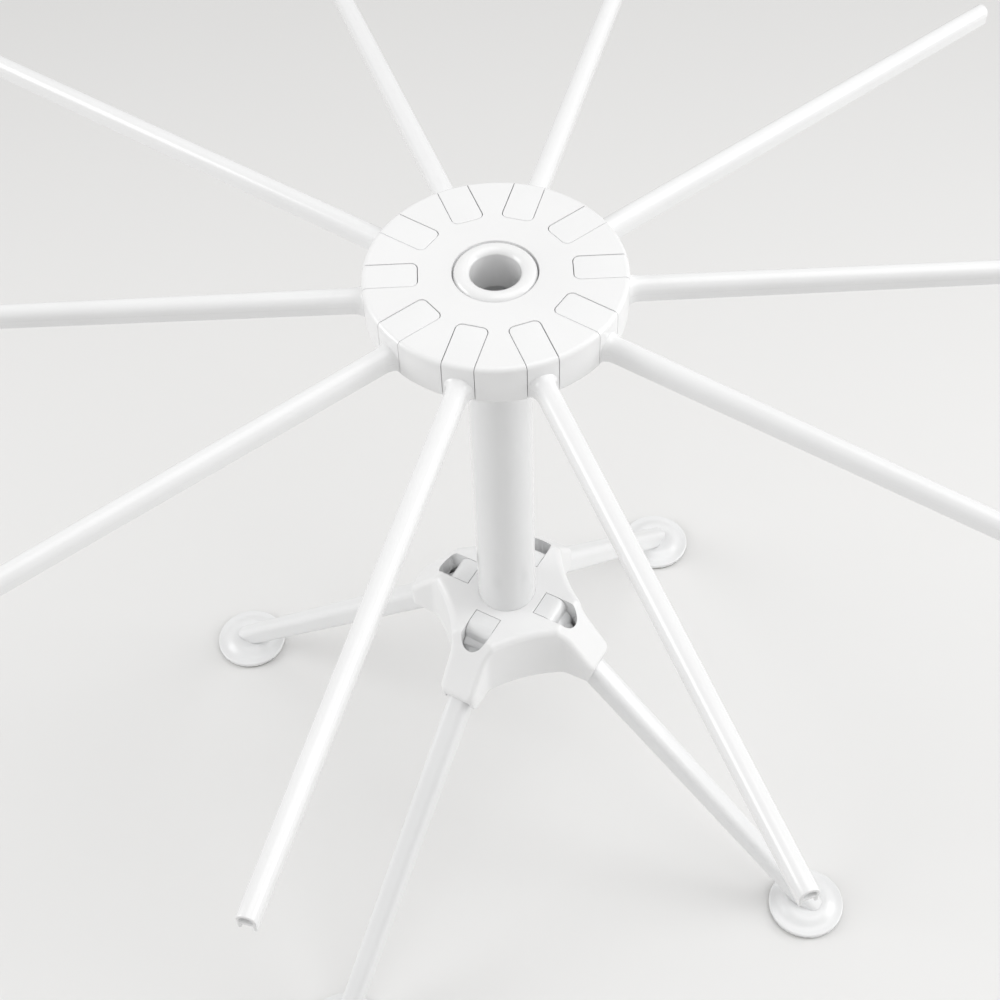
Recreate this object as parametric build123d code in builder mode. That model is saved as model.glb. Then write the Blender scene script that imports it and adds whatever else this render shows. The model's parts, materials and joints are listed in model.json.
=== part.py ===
"""Folding pasta drying rack: ten arms on a turning hub, a tube column, and a base with four folding legs.

Millimetres, +Z up, the table at Z = 0 and the column's axis on Z. The rack stands open, as in use.
"""
from build123d import *
import math
import os

os.makedirs("parts", exist_ok=True)

# Whole rack
rack_height = 396.0
arm_reach = 291.5
foot_reach = 182.0
arm_count = 10
leg_count = 4
first_arm_angle = 0.6
first_leg_angle = 59.0

# Clearances
slot_gap = 0.3
running_gap = 0.06
seat_gap = 0.02
stop_gap = 0.05
fit_gap = 0.2
cut_over = 2.0

# Hub
hub_radius = 55.0
hub_height = 20.0
hub_plate = 3.0
hub_rim_wall = 2.5
hub_top_round = 2.2
hub_bottom_round = 2.4
slot_inner_radius = 31.7
slot_corner_round = 3.0
cheek_wall = 2.2
hub_boss_wall = 2.2
cap_recess_gap = 0.6
cap_recess_depth = 3.7
cover_plate = 2.0
stop_ledge = 4.3

# Arm
block_width = 13.2
block_core_wall = 2.3
block_core_top = 3.0
heel_solid_share = 0.33
arm_hinge_radius = 46.0
arm_hinge_drop = 12.5
arm_peg_radius = 2.5
arm_peg_grip = 2.0
arm_root_width = 8.5
arm_root_height = 9.8
arm_tip_width = 7.3
arm_tip_height = 8.8
arm_skirt_step = 0.25
arm_skirt_height = 4.2
arm_channel_depth = 2.8
arm_channel_wall = 1.5
arm_web = 1.1
shoulder_width = 11.8
shoulder_height = 10.8
shoulder_middle_width = 9.5
shoulder_middle_height = 10.0
shoulder_middle_length = 1.6
shoulder_length = 4.6
tip_pocket_depth = 3.0
tip_pocket_wall = 1.2

# Column and its cap
column_radius = 14.3
column_wall = 2.0
column_shoulder_radius = 19.0
column_shoulder_height = 3.0
cap_radius = 17.4
cap_bore_radius = 10.6
cap_sleeve_length = 16.0
cap_rise = 1.2
cap_flange = 2.4

# Base
base_drop = 221.0
base_height = 35.0
base_waist_radius = 31.5
base_top_round = 4.0
lobe_reach = 54.0
lobe_half_width = 9.6
lobe_root_reach = 38.0
lobe_root_half_width = 10.2
lobe_root_round = 8.0
lobe_corner_round = 4.6
roof_start = 34.0
roof_drop = 25.0
roof_undercut = 2.7
roof_edge_round = 3.0
base_wall = 2.5
base_plate = 3.0
base_cheek_wall = 2.4
well_reach = 38.8
leg_slot_inner = 18.6
base_cover_plate = 2.2

# Leg
leg_block_width = 13.4
leg_block_reach = 30.0
leg_block_round = 5.0
leg_hinge_radius = 26.5
leg_hinge_drop = 14.5
leg_fold = 40.0
leg_knuckle_radius = 7.3
leg_peg_radius = 3.0
leg_peg_grip = 2.2
leg_root_width = 12.4
leg_root_height = 13.6
leg_tip_width = 10.0
leg_tip_height = 11.2
leg_round_share = 0.36
leg_channel_depth = 6.2
leg_channel_wall = 2.2
leg_channel_start = 22.0
leg_channel_end = 18.0
leg_tenon_radius = 3.2
leg_tenon_length = 3.6
leg_spare = 12.0

# Foot and its pad
foot_radius = 20.0
foot_edge_height = 2.2
foot_edge_round = 0.8
foot_dome_radius = 17.6
foot_seat_radius = 9.6
foot_rise = 5.0
pad_radius = 19.3
pad_bore_radius = 11.0
pad_height = 1.6

# Screws
screw_radius = 1.5
screw_length = 11.0
screw_head_radius = 3.0
screw_head_height = 1.5
screw_boss_radius = 3.4
screw_cross_width = 0.9
screw_cross_length = 3.4
screw_cross_depth = 0.9
hub_screw_count = 5
hub_screw_reach = 24.6
base_screw_reach = 23.4

# Places worked out from the sizes above
arm_step_angle = 360 / arm_count
leg_step_angle = 360 / leg_count
hub_top = rack_height
hub_bottom = hub_top - hub_height
cover_top = hub_bottom + cover_plate
arm_axis = hub_top - arm_hinge_drop
block_half = block_width / 2
slot_half = block_half + slot_gap
block_bottom = cover_top + stop_gap
block_inner = slot_inner_radius + slot_gap
heel_radius = arm_hinge_radius - block_inner
column_bore = column_radius - column_wall
cap_recess_floor = hub_top - cap_recess_depth
column_top = cap_recess_floor + fit_gap
hub_bore_radius = column_radius + running_gap
cap_recess_radius = cap_radius + cap_recess_gap
hub_boss_radius = cap_recess_radius + hub_boss_wall
base_top = rack_height - base_drop
base_bottom = base_top - base_height
base_cover_top = base_bottom + base_cover_plate
leg_axis = base_top - leg_hinge_drop
leg_half = leg_block_width / 2
leg_slot_half = leg_half + slot_gap
leg_end = pad_height + foot_rise
leg_run = foot_reach - leg_hinge_radius
leg_fall = leg_axis - leg_end
leg_slope = math.atan2(leg_fall, leg_run)
leg_length = math.hypot(leg_run, leg_fall)


def radial_plane(angle=0.0):
    """Upright plane through the column's axis: X runs outwards, Y runs up."""
    turn = math.radians(angle)
    outwards = (math.cos(turn), math.sin(turn), 0)
    sideways = (math.sin(turn), -math.cos(turn), 0)
    return Plane(origin=(0, 0, 0), x_dir=outwards, z_dir=sideways)


def cross_plane(reach, height, slope=0.0):
    """Plane square to an arm or leg that runs outwards and falls by the slope."""
    outwards = (math.cos(slope), 0, -math.sin(slope))
    return Plane(origin=(reach, 0, height), x_dir=(0, 1, 0), z_dir=outwards)


def ring_places(reach, count, first_angle, height):
    """Places around the column's axis at one height."""
    places = []
    for number in range(count):
        angle = first_angle + number * 360 / count
        turn = math.radians(angle)
        places.append(Location((reach * math.cos(turn), reach * math.sin(turn), height), (0, 0, angle)))
    return places


def arm_section(plane, width, height):
    """Arm's cross-section: a round top on straight sides, with a skirt set in along the bottom."""
    half = width / 2
    low = -height / 2
    with BuildSketch(plane) as section:
        with BuildLine():
            Polyline(
                (-half, height / 2 - half),
                (-half, low + arm_skirt_height),
                (-half + arm_skirt_step, low + arm_skirt_height - arm_skirt_step),
                (-half + arm_skirt_step, low),
                (half - arm_skirt_step, low),
                (half - arm_skirt_step, low + arm_skirt_height - arm_skirt_step),
                (half, low + arm_skirt_height),
                (half, height / 2 - half),
            )
            ThreePointArc((half, height / 2 - half), (0, height / 2), (-half, height / 2 - half))
        make_face()
    return section


def leg_section(plane, width, height):
    """Leg's cross-section: a rectangle with large rounded corners."""
    with BuildSketch(plane) as section:
        RectangleRounded(width, height, width * leg_round_share)
    return section


def channel_section(plane, width, height, wall, depth):
    """Section of the open channel along the underside of an arm or leg."""
    with BuildSketch(plane) as section:
        with Locations((0, -height / 2 - cut_over)):
            Rectangle(width - 2 * wall, depth + cut_over, align=(Align.CENTER, Align.MIN))
    return section


def make_screw(places):
    """Countersunk screws that point up, one at each place of the underside of a cover."""
    with BuildPart() as screws:
        for place in places:
            with Locations(place):
                Cylinder(screw_radius, screw_length, align=(Align.CENTER, Align.CENTER, Align.MIN))
                Cone(
                    screw_head_radius, screw_radius, screw_head_height,
                    align=(Align.CENTER, Align.CENTER, Align.MIN),
                )
                for turn in (0, 90):
                    with Locations(Rotation(0, 0, turn)):
                        Box(
                            screw_cross_length, screw_cross_width, screw_cross_depth,
                            align=(Align.CENTER, Align.CENTER, Align.MIN), mode=Mode.SUBTRACT,
                        )
    return screws


def save(piece, name):
    """Labels a finished piece and writes it."""
    piece.part.label = name
    export_step(piece.part, f"parts/{name}.step")


# Column: a tube with a shoulder that the hub turns on
shoulder_step = column_shoulder_radius - column_radius
with BuildPart() as column:
    with BuildSketch(radial_plane()):
        with BuildLine():
            Polyline(
                (column_bore, base_cover_top),
                (column_radius, base_cover_top),
                (column_radius, hub_bottom - column_shoulder_height - shoulder_step),
                (column_shoulder_radius, hub_bottom - column_shoulder_height),
                (column_shoulder_radius, hub_bottom - stop_gap),
                (column_radius, hub_bottom - stop_gap),
                (column_radius, column_top),
                (column_bore, column_top),
                close=True,
            )
        make_face()
    revolve(axis=Axis.Z)
save(column, "column")

# Cap: a rounded ring that holds the hub down and lines the mouth of the tube
with BuildPart() as column_cap:
    cap_middle = (cap_radius + cap_bore_radius) / 2
    with BuildSketch(radial_plane()):
        with BuildLine():
            Polyline(
                (cap_radius, column_top + cap_flange),
                (cap_radius, column_top),
                (column_bore - running_gap, column_top),
                (column_bore - running_gap, column_top - cap_sleeve_length),
                (cap_bore_radius, column_top - cap_sleeve_length),
                (cap_bore_radius, column_top + cap_flange),
            )
            ThreePointArc(
                (cap_bore_radius, column_top + cap_flange),
                (cap_middle, hub_top + cap_rise),
                (cap_radius, column_top + cap_flange),
            )
        make_face()
    revolve(axis=Axis.Z)
save(column_cap, "column_cap")

# Hub shell: the disc with ten slots, moulded hollow from below
first_screw_angle = first_arm_angle + arm_step_angle / 2
hub_screw_places = ring_places(hub_screw_reach, hub_screw_count, first_screw_angle, hub_bottom)
with BuildPart() as hub_shell:
    with BuildSketch(Plane.XY.offset(hub_bottom)):
        Circle(hub_radius)
    extrude(amount=hub_height)
    fillet(hub_shell.edges().group_by(Axis.Z)[-1], radius=hub_top_round)
    fillet(hub_shell.edges().group_by(Axis.Z)[0], radius=hub_bottom_round)
    # room under the top plate, round the boss
    with BuildSketch(Plane.XY.offset(hub_bottom - cut_over)):
        Circle(slot_inner_radius - cheek_wall)
        Circle(hub_boss_radius, mode=Mode.SUBTRACT)
    extrude(amount=hub_height - hub_plate + cut_over, mode=Mode.SUBTRACT)
    # bay for the cover inside the rim
    with BuildSketch(Plane.XY.offset(hub_bottom - cut_over)):
        Circle(hub_radius - hub_rim_wall)
        Circle(hub_boss_radius, mode=Mode.SUBTRACT)
    extrude(amount=cover_plate + cut_over, mode=Mode.SUBTRACT)
    # wedge-shaped rooms between the slots
    with BuildSketch(Plane.XY.offset(hub_bottom - cut_over)):
        Circle(hub_radius - hub_rim_wall)
        Circle(slot_inner_radius, mode=Mode.SUBTRACT)
        for number in range(arm_count):
            with Locations(Rotation(0, 0, first_arm_angle + number * arm_step_angle)):
                Rectangle(
                    hub_radius, 2 * (slot_half + cheek_wall),
                    align=(Align.MIN, Align.CENTER), mode=Mode.SUBTRACT,
                )
    extrude(amount=hub_height - hub_plate + cut_over, mode=Mode.SUBTRACT)
    # posts for the cover's screws
    with BuildSketch(Plane.XY.offset(cover_top)):
        with Locations(hub_screw_places):
            Circle(screw_boss_radius)
    extrude(amount=hub_height - hub_plate - cover_plate)
    with BuildSketch(Plane.XY.offset(cover_top)):
        with Locations(hub_screw_places):
            Circle(screw_radius + seat_gap)
    extrude(amount=screw_length - cover_plate + fit_gap, mode=Mode.SUBTRACT)
    # bore on the column and recess for the cap
    with BuildSketch(Plane.XY.offset(hub_bottom - cut_over)):
        Circle(hub_bore_radius)
    extrude(amount=hub_height + 2 * cut_over, mode=Mode.SUBTRACT)
    with BuildSketch(Plane.XY.offset(cap_recess_floor)):
        Circle(cap_recess_radius)
    extrude(amount=cap_recess_depth + cut_over, mode=Mode.SUBTRACT)
    # slots for the arms, with the bearings of their hinge pegs
    for number in range(arm_count):
        slot_angle = first_arm_angle + number * arm_step_angle
        with BuildSketch(Plane.XY.offset(hub_bottom - cut_over)):
            with Locations(Rotation(0, 0, slot_angle)):
                with Locations((slot_inner_radius, 0)):
                    RectangleRounded(
                        2 * (hub_radius - slot_inner_radius), 2 * slot_half, slot_corner_round,
                        align=(Align.MIN, Align.CENTER),
                    )
        extrude(amount=hub_height + 2 * cut_over, mode=Mode.SUBTRACT)
        # square corners under the top plate, where the arm's heel swings
        with BuildSketch(Plane.XY.offset(hub_bottom - cut_over)):
            with Locations(Rotation(0, 0, slot_angle)):
                with Locations((slot_inner_radius, 0)):
                    Rectangle(
                        arm_hinge_radius - slot_inner_radius, 2 * slot_half,
                        align=(Align.MIN, Align.CENTER),
                    )
        extrude(amount=hub_height - hub_plate + cut_over, mode=Mode.SUBTRACT)
        with BuildSketch(radial_plane(slot_angle)):
            with Locations((arm_hinge_radius, arm_axis)):
                Circle(arm_peg_radius + running_gap)
                Rectangle(
                    2 * (arm_peg_radius + running_gap), arm_axis - hub_bottom + cut_over,
                    align=(Align.CENTER, Align.MAX),
                )
        extrude(amount=slot_half + cheek_wall + fit_gap, both=True, mode=Mode.SUBTRACT)
save(hub_shell, "hub_shell")

# Hub cover: closes the hub from below, carries the pegs and stops the arms level
with BuildPart() as hub_cover:
    with BuildSketch(Plane.XY.offset(hub_bottom)):
        Circle(hub_radius - hub_rim_wall - fit_gap)
        Circle(hub_boss_radius + fit_gap, mode=Mode.SUBTRACT)
        for number in range(arm_count):
            with Locations(Rotation(0, 0, first_arm_angle + number * arm_step_angle)):
                with Locations((slot_inner_radius + stop_ledge, 0)):
                    Rectangle(
                        hub_radius, 2 * slot_half, align=(Align.MIN, Align.CENTER), mode=Mode.SUBTRACT
                    )
    extrude(amount=cover_plate)
    # saddles under the pegs
    for number in range(arm_count):
        slot_angle = first_arm_angle + number * arm_step_angle
        for side in (-1, 1):
            with BuildSketch(radial_plane(slot_angle).offset(side * (slot_half + fit_gap))):
                with Locations((arm_hinge_radius, cover_top)):
                    Rectangle(
                        2 * (arm_peg_radius + running_gap - fit_gap), arm_axis - cover_top,
                        align=(Align.CENTER, Align.MIN),
                    )
                with Locations((arm_hinge_radius, arm_axis)):
                    Circle(arm_peg_radius + running_gap, mode=Mode.SUBTRACT)
            extrude(amount=side * (cheek_wall - fit_gap))
    with BuildSketch(Plane.XY.offset(hub_bottom)):
        with Locations(hub_screw_places):
            Circle(screw_radius + seat_gap)
    extrude(amount=cover_plate, mode=Mode.SUBTRACT)
    with Locations(hub_screw_places):
        Cone(
            screw_head_radius + seat_gap, screw_radius + seat_gap, screw_head_height,
            align=(Align.CENTER, Align.CENTER, Align.MIN), mode=Mode.SUBTRACT,
        )
save(hub_cover, "hub_cover")

hub_screws = make_screw(hub_screw_places)
save(hub_screws, "hub_screws")

# Arm, made once along X and turned to its place
with BuildPart() as arm_form:
    # block that fills the hub's slot
    block_side_end = math.sqrt(hub_radius**2 - block_half**2)
    with BuildSketch(Plane.XY.offset(block_bottom)) as block_plan:
        with BuildLine():
            Polyline(
                (block_side_end, block_half),
                (block_inner, block_half),
                (block_inner, -block_half),
                (block_side_end, -block_half),
            )
            ThreePointArc((block_side_end, -block_half), (hub_radius, 0), (block_side_end, block_half))
        make_face()
        fillet(block_plan.vertices().group_by(Axis.X)[0], radius=slot_corner_round - slot_gap)
    extrude(amount=hub_top - block_bottom)
    # outer top edge rounded like the rim it lies in
    rim_edge = arm_form.edges().filter_by(GeomType.CIRCLE).group_by(Axis.Z)[-1].sort_by(Axis.X)[-1]
    fillet(rim_edge, radius=hub_top_round)
    # heel that clears the end of the slot as the arm swings
    with BuildSketch(Plane.XZ):
        with Locations((arm_hinge_radius, arm_axis)):
            Rectangle(arm_hinge_radius, arm_axis, align=(Align.MAX, Align.MAX))
            Circle(heel_radius, mode=Mode.SUBTRACT)
    extrude(amount=block_width, both=True, mode=Mode.SUBTRACT)
    # hollow in the block's underside
    core_start = block_inner + heel_radius * heel_solid_share
    core_end = hub_radius - 2 * block_core_wall
    with BuildSketch(Plane.XY.offset(block_bottom - cut_over)):
        with Locations((core_start, 0)):
            RectangleRounded(
                core_end - core_start, block_width - 2 * block_core_wall, block_core_wall / 2,
                align=(Align.MIN, Align.CENTER),
            )
    extrude(amount=hub_top - block_core_top - block_bottom + cut_over, mode=Mode.SUBTRACT)
    # hinge pegs
    with BuildSketch(Plane.XZ.offset(block_half - block_core_wall)):
        with Locations((arm_hinge_radius, arm_axis)):
            Circle(arm_peg_radius)
    extrude(amount=block_core_wall + slot_gap + arm_peg_grip)
    with BuildSketch(Plane.XZ.offset(block_core_wall - block_half)):
        with Locations((arm_hinge_radius, arm_axis)):
            Circle(arm_peg_radius)
    extrude(amount=-(block_core_wall + slot_gap + arm_peg_grip))
    # shoulder from the block to the rod
    shoulder_start = hub_radius - block_core_wall
    shoulder_rise = (shoulder_height - arm_root_height) / 2
    middle_rise = (shoulder_middle_height - arm_root_height) / 2
    shoulder_middle = hub_radius + shoulder_middle_length
    rod_start = hub_radius + shoulder_length
    shoulder_sections = [
        (shoulder_start, arm_axis + shoulder_rise, shoulder_width, shoulder_height),
        (hub_radius, arm_axis + shoulder_rise, shoulder_width, shoulder_height),
        (shoulder_middle, arm_axis + middle_rise, shoulder_middle_width, shoulder_middle_height),
        (rod_start, arm_axis, arm_root_width, arm_root_height),
    ]
    for inner, outer in zip(shoulder_sections, shoulder_sections[1:]):
        near = arm_section(cross_plane(inner[0], inner[1]), inner[2], inner[3])
        far = arm_section(cross_plane(outer[0], outer[1]), outer[2], outer[3])
        loft([near.sketch.face(), far.sketch.face()], ruled=True)
    # rod, tapering to its tip
    root = arm_section(cross_plane(rod_start, arm_axis), arm_root_width, arm_root_height)
    tip = arm_section(cross_plane(arm_reach, arm_axis), arm_tip_width, arm_tip_height)
    loft([root.sketch.face(), tip.sketch.face()], ruled=True)
    # channel along the underside
    channel_root = channel_section(
        cross_plane(rod_start, arm_axis), arm_root_width, arm_root_height,
        arm_channel_wall, arm_channel_depth,
    )
    channel_tip = channel_section(
        cross_plane(arm_reach, arm_axis), arm_tip_width, arm_tip_height,
        arm_channel_wall, arm_channel_depth,
    )
    loft([channel_root.sketch.face(), channel_tip.sketch.face()], ruled=True, mode=Mode.SUBTRACT)
    # pocket in the tip, above the web
    pocket_half = arm_tip_width / 2 - tip_pocket_wall
    pocket_floor = arm_channel_depth + arm_web - arm_tip_height / 2
    pocket_arch = arm_tip_height / 2 - arm_tip_width / 2
    with BuildSketch(cross_plane(arm_reach, arm_axis)):
        with Locations((0, pocket_arch)):
            Circle(pocket_half)
        with Locations((0, pocket_floor)):
            Rectangle(2 * pocket_half, pocket_arch - pocket_floor, align=(Align.CENTER, Align.MIN))
        with Locations((0, pocket_floor)):
            Rectangle(arm_tip_width, arm_tip_height, align=(Align.CENTER, Align.MAX), mode=Mode.SUBTRACT)
    extrude(amount=-tip_pocket_depth, mode=Mode.SUBTRACT)

for number in range(arm_count):
    with BuildPart() as arm:
        add(arm_form.part.rotate(Axis.Z, first_arm_angle + number * arm_step_angle))
    save(arm, f"arm_{number + 1:02d}")


def star_outline(inset, height):
    """Base's plan: four lobes joined by waists that curve inwards, drawn in by the inset."""
    with BuildSketch(Plane.XY.offset(height)) as star:
        with BuildLine():
            for number in range(leg_count):
                turn = Rotation(0, 0, first_leg_angle + number * leg_step_angle)
                next_turn = Rotation(0, 0, first_leg_angle + (number + 1) * leg_step_angle)
                waist_turn = Rotation(0, 0, first_leg_angle + (number + 0.5) * leg_step_angle)
                near_root = (turn * Pos(lobe_root_reach, -lobe_root_half_width)).position
                near_end = (turn * Pos(lobe_reach, -lobe_half_width)).position
                far_end = (turn * Pos(lobe_reach, lobe_half_width)).position
                far_root = (turn * Pos(lobe_root_reach, lobe_root_half_width)).position
                waist = (waist_turn * Pos(base_waist_radius, 0)).position
                next_root = (next_turn * Pos(lobe_root_reach, -lobe_root_half_width)).position
                Polyline(near_root, near_end, far_end, far_root)
                ThreePointArc(far_root, waist, next_root)
        make_face()
        root_distance = math.hypot(lobe_root_reach, lobe_root_half_width)
        end_distance = math.hypot(lobe_reach, lobe_half_width)
        middle_distance = (root_distance + end_distance) / 2
        end_circle = end_distance - lobe_corner_round
        inner_corners = star.vertices().filter_by(
            lambda corner: math.hypot(corner.X, corner.Y) < middle_distance
        )
        fillet(inner_corners, radius=lobe_root_round)
        outer_corners = star.vertices().filter_by(
            lambda corner: math.hypot(corner.X, corner.Y) > end_circle
        )
        fillet(outer_corners, radius=lobe_corner_round)
        if inset:
            offset(amount=-inset)
    return star


leg_peg_room = leg_slot_half + base_cheek_wall
first_waist_angle = first_leg_angle + leg_step_angle / 2
base_screw_places = ring_places(base_screw_reach, leg_count, first_waist_angle, base_bottom)

# Way of the rounded end of a leg's block, from standing to folded, seen from the side
swing_round = leg_block_round + slot_gap
round_out = leg_block_reach - leg_block_round - leg_hinge_radius
round_up = leg_hinge_drop - leg_block_round
swing_radius = math.hypot(round_out, round_up)
folded_turn = math.atan2(round_up, round_out) - math.radians(leg_fold)
swing_arc = CenterArc((0, 0), swing_radius, math.degrees(folded_turn), leg_fold)
face_out = (math.cos(math.radians(leg_fold)), -math.sin(math.radians(leg_fold)))
folded_round = (
    leg_hinge_radius + swing_radius * math.cos(folded_turn),
    leg_axis + swing_radius * math.sin(folded_turn),
)
face_top = (folded_round[0] + swing_round * face_out[0], folded_round[1] + swing_round * face_out[1])
face_foot = (face_top[0] + round_up * face_out[1], face_top[1] - round_up * face_out[0])
swing_points = [(leg_hinge_radius, leg_axis), folded_round, face_top, face_foot]

# Base shell: four lobes round the column's socket, moulded hollow from below
with BuildPart() as base_shell:
    outline = star_outline(0, base_bottom)
    extrude(outline.sketch, amount=base_height)
    fillet(base_shell.edges().group_by(Axis.Z)[-1], radius=base_top_round)
    # roofs that slope down over the legs
    for number in range(leg_count):
        lobe_angle = first_leg_angle + number * leg_step_angle
        with BuildSketch(radial_plane(lobe_angle)) as above_roof:
            with BuildLine():
                Polyline(
                    (roof_start, base_top),
                    (lobe_reach, base_top - roof_drop),
                    (lobe_reach - roof_undercut, base_bottom),
                    (lobe_reach - roof_undercut, base_bottom - cut_over),
                    (lobe_reach + lobe_half_width, base_bottom - cut_over),
                    (lobe_reach + lobe_half_width, base_top + cut_over),
                    (roof_start, base_top + cut_over),
                    close=True,
                )
            make_face()
        extrude(amount=lobe_reach, both=True, mode=Mode.SUBTRACT)
    # softened edges round each roof
    roof_middle = (roof_start + lobe_reach) / 2
    for number in range(leg_count):
        lobe_turn = math.radians(first_leg_angle + number * leg_step_angle)
        roof_place = (
            roof_middle * math.cos(lobe_turn), roof_middle * math.sin(lobe_turn), base_top - roof_drop / 2
        )
        roof = base_shell.faces().sort_by_distance(roof_place)[0]
        fillet(roof.edges(), radius=roof_edge_round)
    # bay for the cover
    bay = star_outline(base_wall, base_bottom - cut_over)
    extrude(bay.sketch, amount=base_cover_plate + cut_over, mode=Mode.SUBTRACT)
    # rooms between the legs' channels
    with BuildSketch(Plane.XY.offset(base_bottom - cut_over)):
        Circle(base_waist_radius - base_wall)
        Circle(column_radius + base_wall, mode=Mode.SUBTRACT)
        for number in range(leg_count):
            with Locations(Rotation(0, 0, first_leg_angle + number * leg_step_angle)):
                Rectangle(
                    lobe_reach, 2 * (leg_slot_half + base_cheek_wall),
                    align=(Align.MIN, Align.CENTER), mode=Mode.SUBTRACT,
                )
    extrude(amount=base_height - base_plate + cut_over, mode=Mode.SUBTRACT)
    # posts for the cover's screws
    with BuildSketch(Plane.XY.offset(base_cover_top)):
        with Locations(base_screw_places):
            Circle(screw_boss_radius)
    extrude(amount=base_height - base_plate - base_cover_plate)
    with BuildSketch(Plane.XY.offset(base_cover_top)):
        with Locations(base_screw_places):
            Circle(screw_radius + seat_gap)
    extrude(amount=screw_length - base_cover_plate + fit_gap, mode=Mode.SUBTRACT)
    # socket for the column
    with BuildSketch(Plane.XY.offset(base_bottom)):
        Circle(column_radius + seat_gap)
    extrude(amount=base_height + cut_over, mode=Mode.SUBTRACT)
    for number in range(leg_count):
        lobe_angle = first_leg_angle + number * leg_step_angle
        # slot in the top: square at the column, round at the well
        with BuildSketch(Plane.XY.offset(leg_axis)):
            with Locations(Rotation(0, 0, lobe_angle)):
                with Locations((leg_slot_inner, 0)):
                    Rectangle(
                        well_reach - leg_slot_half - leg_slot_inner, 2 * leg_slot_half,
                        align=(Align.MIN, Align.CENTER),
                    )
                with Locations((well_reach - leg_slot_half, 0)):
                    Circle(leg_slot_half)
        extrude(amount=base_top - leg_axis + cut_over, mode=Mode.SUBTRACT)
        # room under the roof for the block's rounded end as the leg folds in
        with BuildSketch(radial_plane(lobe_angle)):
            with Locations((leg_hinge_radius, leg_axis)):
                SlotArc(swing_arc, 2 * swing_round)
            with BuildLine():
                Polyline(swing_points, close=True)
            make_face()
        extrude(amount=leg_slot_half, both=True, mode=Mode.SUBTRACT)
        # channel under the roof, open at the lobe's end and below
        roof_line = leg_root_height / 2 + stop_gap
        roof_rise = roof_line / math.cos(leg_slope)
        channel_far = lobe_reach + cut_over
        roof_fall = (channel_far - leg_hinge_radius) * math.tan(leg_slope)
        with BuildSketch(radial_plane(lobe_angle)):
            with BuildLine():
                Polyline(
                    (leg_slot_inner, 0),
                    (leg_slot_inner, leg_axis + leg_knuckle_radius),
                    (leg_hinge_radius, leg_axis + roof_rise),
                    (channel_far, leg_axis + roof_rise - roof_fall),
                    (channel_far, 0),
                    close=True,
                )
            make_face()
        extrude(amount=leg_slot_half, both=True, mode=Mode.SUBTRACT)
        # bearings for the hinge pegs
        with BuildSketch(radial_plane(lobe_angle)):
            with Locations((leg_hinge_radius, leg_axis)):
                Circle(leg_peg_radius + running_gap)
                Rectangle(
                    2 * (leg_peg_radius + running_gap), leg_axis - base_bottom + cut_over,
                    align=(Align.CENTER, Align.MAX),
                )
        extrude(amount=leg_peg_room, both=True, mode=Mode.SUBTRACT)
save(base_shell, "base_shell")

# Base cover: floor under the column, with saddles for the legs' pegs
with BuildPart() as base_cover:
    plate = star_outline(base_wall + fit_gap, base_bottom)
    extrude(plate.sketch, amount=base_cover_plate)
    for number in range(leg_count):
        lobe_angle = first_leg_angle + number * leg_step_angle
        with BuildSketch(Plane.XY.offset(base_bottom)):
            with Locations(Rotation(0, 0, lobe_angle)):
                with Locations((leg_hinge_radius - leg_knuckle_radius + fit_gap, 0)):
                    Rectangle(lobe_reach, 2 * leg_slot_half, align=(Align.MIN, Align.CENTER))
        extrude(amount=base_cover_plate, mode=Mode.SUBTRACT)
        with BuildSketch(Plane.XY.offset(base_bottom)):
            with Locations(Rotation(0, 0, lobe_angle)):
                with Locations((base_waist_radius + base_wall, 0)):
                    Rectangle(lobe_reach, 2 * lobe_half_width, align=(Align.MIN, Align.CENTER))
        extrude(amount=base_cover_plate, mode=Mode.SUBTRACT)
        for side in (-1, 1):
            with BuildSketch(radial_plane(lobe_angle).offset(side * (leg_slot_half + fit_gap))):
                with Locations((leg_hinge_radius, base_cover_top)):
                    Rectangle(
                        2 * (leg_peg_radius + running_gap - fit_gap), leg_axis - base_cover_top,
                        align=(Align.CENTER, Align.MIN),
                    )
                with Locations((leg_hinge_radius, leg_axis)):
                    Circle(leg_peg_radius + running_gap, mode=Mode.SUBTRACT)
            extrude(amount=side * (base_cheek_wall - 2 * fit_gap))
    with BuildSketch(Plane.XY.offset(base_bottom)):
        with Locations(base_screw_places):
            Circle(screw_radius + seat_gap)
    extrude(amount=base_cover_plate, mode=Mode.SUBTRACT)
    with Locations(base_screw_places):
        Cone(
            screw_head_radius + seat_gap, screw_radius + seat_gap, screw_head_height,
            align=(Align.CENTER, Align.CENTER, Align.MIN), mode=Mode.SUBTRACT,
        )
save(base_cover, "base_cover")

base_screws = make_screw(base_screw_places)
save(base_screws, "base_screws")


def along_leg(distance):
    """Plane square to the leg at a distance from its hinge."""
    return cross_plane(
        leg_hinge_radius + distance * math.cos(leg_slope),
        leg_axis - distance * math.sin(leg_slope),
        leg_slope,
    )


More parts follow.
